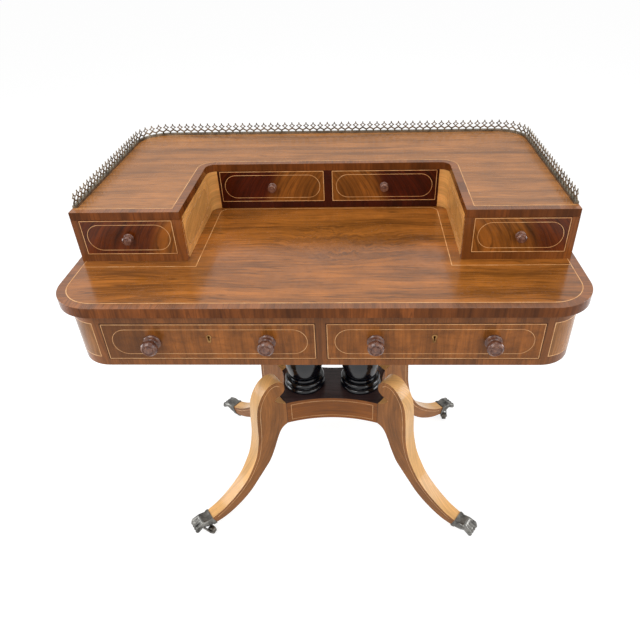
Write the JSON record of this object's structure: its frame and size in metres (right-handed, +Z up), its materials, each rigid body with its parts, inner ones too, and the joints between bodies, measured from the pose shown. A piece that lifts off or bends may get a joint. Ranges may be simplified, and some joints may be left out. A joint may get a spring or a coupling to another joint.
{
  "type": "carlton house desk",
  "caption": "Writing desk with a U-shaped stage of small drawers and a pierced gallery, on columns, a platform and four sabre legs with paw casters.",
  "frame": {"origin": "on the floor, under the middle of the desk's bounding box", "axes": "+X to the sitter's right along the desk's width, +Y away from the sitter, +Z up"},
  "size_m": [0.976, 0.6464, 0.9109],
  "materials": {
    "rosewood_top": "gloss",
    "rosewood_body": "gloss",
    "rosewood_dark": "gloss",
    "golden_veneer": "satin",
    "pine": "matte",
    "turned_rosewood": "gloss",
    "ebonised_wood": "gloss",
    "aged_brass": "satin",
    "bright_brass": "satin",
    "steel_screw": "satin"
  },
  "bodies": {
    "desk": {"writing_top": "rosewood_top", "frieze_front": "rosewood_body", "frieze_end_left": "rosewood_body", "frieze_end_right": "rosewood_body", "frieze_back": "rosewood_body", "dust_board": "pine", "upper_floor": "pine", "upper_top": "rosewood_top", "upper_back": "rosewood_body", "upper_end_left": "rosewood_body", "upper_end_right": "rosewood_body", "wing_side_left": "golden_veneer", "wing_side_right": "golden_veneer", "wing_frame_left": "rosewood_dark", "wing_frame_right": "rosewood_dark", "upper_front": "rosewood_dark", "gallery": "aged_brass", "column_block": "rosewood_dark", "block_screws": "steel_screw", "column_left": "ebonised_wood", "column_right": "ebonised_wood", "platform": "rosewood_body", "leg_front_left": "golden_veneer", "leg_front_right": "golden_veneer", "leg_back_left": "golden_veneer", "leg_back_right": "golden_veneer", "paw_front_left": "aged_brass", "paw_front_right": "aged_brass", "paw_back_left": "aged_brass", "paw_back_right": "aged_brass"},
    "frieze_drawer_left": {"drawer_front_left": "rosewood_body", "drawer_box_left": "pine", "drawer_knobs_left": "turned_rosewood", "lock_left": "bright_brass"},
    "lock_bolt_left": {"lock_bolt_left": "bright_brass"},
    "wing_drawer_left": {"wing_drawer_front_left": "rosewood_dark", "wing_drawer_box_left": "pine", "wing_drawer_knob_left": "turned_rosewood"},
    "back_drawer_left": {"back_drawer_front_left": "rosewood_dark", "back_drawer_box_left": "pine", "back_drawer_knob_left": "turned_rosewood"},
    "frieze_drawer_right": {"drawer_front_right": "rosewood_body", "drawer_box_right": "pine", "drawer_knobs_right": "turned_rosewood", "lock_right": "bright_brass"},
    "lock_bolt_right": {"lock_bolt_right": "bright_brass"},
    "wing_drawer_right": {"wing_drawer_front_right": "rosewood_dark", "wing_drawer_box_right": "pine", "wing_drawer_knob_right": "turned_rosewood"},
    "back_drawer_right": {"back_drawer_front_right": "rosewood_dark", "back_drawer_box_right": "pine", "back_drawer_knob_right": "turned_rosewood"},
    "caster_front_left": {"fork_front_left": "aged_brass"},
    "caster_wheel_front_left": {"wheel_front_left": "aged_brass"},
    "caster_front_right": {"fork_front_right": "aged_brass"},
    "caster_wheel_front_right": {"wheel_front_right": "aged_brass"},
    "caster_back_left": {"fork_back_left": "aged_brass"},
    "caster_wheel_back_left": {"wheel_back_left": "aged_brass"},
    "caster_back_right": {"fork_back_right": "aged_brass"},
    "caster_wheel_back_right": {"wheel_back_right": "aged_brass"}
  },
  "joints": [
    {"name": "frieze_drawer_left_slide", "type": "slide", "parent": "desk", "child": "frieze_drawer_left", "axis": [0, -1, 0], "range_m": [0, 0.4]},
    {"name": "lock_bolt_left_throw", "type": "slide", "parent": "frieze_drawer_left", "child": "lock_bolt_left", "axis": [0, 0, 1], "range_m": [0, 0.008]},
    {"name": "wing_drawer_left_slide", "type": "slide", "parent": "desk", "child": "wing_drawer_left", "axis": [0, -1, 0], "range_m": [0, 0.22]},
    {"name": "back_drawer_left_slide", "type": "slide", "parent": "desk", "child": "back_drawer_left", "axis": [0, -1, 0], "range_m": [0, 0.12]},
    {"name": "frieze_drawer_right_slide", "type": "slide", "parent": "desk", "child": "frieze_drawer_right", "axis": [0, -1, 0], "range_m": [0, 0.4]},
    {"name": "lock_bolt_right_throw", "type": "slide", "parent": "frieze_drawer_right", "child": "lock_bolt_right", "axis": [0, 0, 1], "range_m": [0, 0.008]},
    {"name": "wing_drawer_right_slide", "type": "slide", "parent": "desk", "child": "wing_drawer_right", "axis": [0, -1, 0], "range_m": [0, 0.22]},
    {"name": "back_drawer_right_slide", "type": "slide", "parent": "desk", "child": "back_drawer_right", "axis": [0, -1, 0], "range_m": [0, 0.12]},
    {"name": "caster_front_left_swivel", "type": "hinge", "parent": "desk", "child": "caster_front_left", "pos_m": [-0.34043, -0.21345, 0.024], "axis": [0, 0, 1], "continuous": true},
    {"name": "caster_wheel_front_left_spin", "type": "hinge", "parent": "caster_front_left", "child": "caster_wheel_front_left", "pos_m": [-0.32003, -0.22169, 0.011], "axis": [0.3746, 0.9272, 0], "continuous": true},
    {"name": "caster_front_right_swivel", "type": "hinge", "parent": "desk", "child": "caster_front_right", "pos_m": [0.34043, -0.21345, 0.024], "axis": [0, 0, 1], "continuous": true},
    {"name": "caster_wheel_front_right_spin", "type": "hinge", "parent": "caster_front_right", "child": "caster_wheel_front_right", "pos_m": [0.34235, -0.19154, 0.011], "axis": [-0.9962, 0.0872, 0], "continuous": true},
    {"name": "caster_back_left_swivel", "type": "hinge", "parent": "desk", "child": "caster_back_left", "pos_m": [-0.34043, 0.22395, 0.024], "axis": [0, 0, 1], "continuous": true},
    {"name": "caster_wheel_back_left_spin", "type": "hinge", "parent": "caster_back_left", "child": "caster_wheel_back_left", "pos_m": [-0.32119, 0.21329, 0.011], "axis": [0.4848, 0.8746, 0], "continuous": true},
    {"name": "caster_back_right_swivel", "type": "hinge", "parent": "desk", "child": "caster_back_right", "pos_m": [0.34043, 0.22395, 0.024], "axis": [0, 0, 1], "continuous": true},
    {"name": "caster_wheel_back_right_spin", "type": "hinge", "parent": "caster_back_right", "child": "caster_wheel_back_right", "pos_m": [0.33966, 0.20196, 0.011], "axis": [0.9994, -0.0349, 0], "continuous": true}
  ]
}
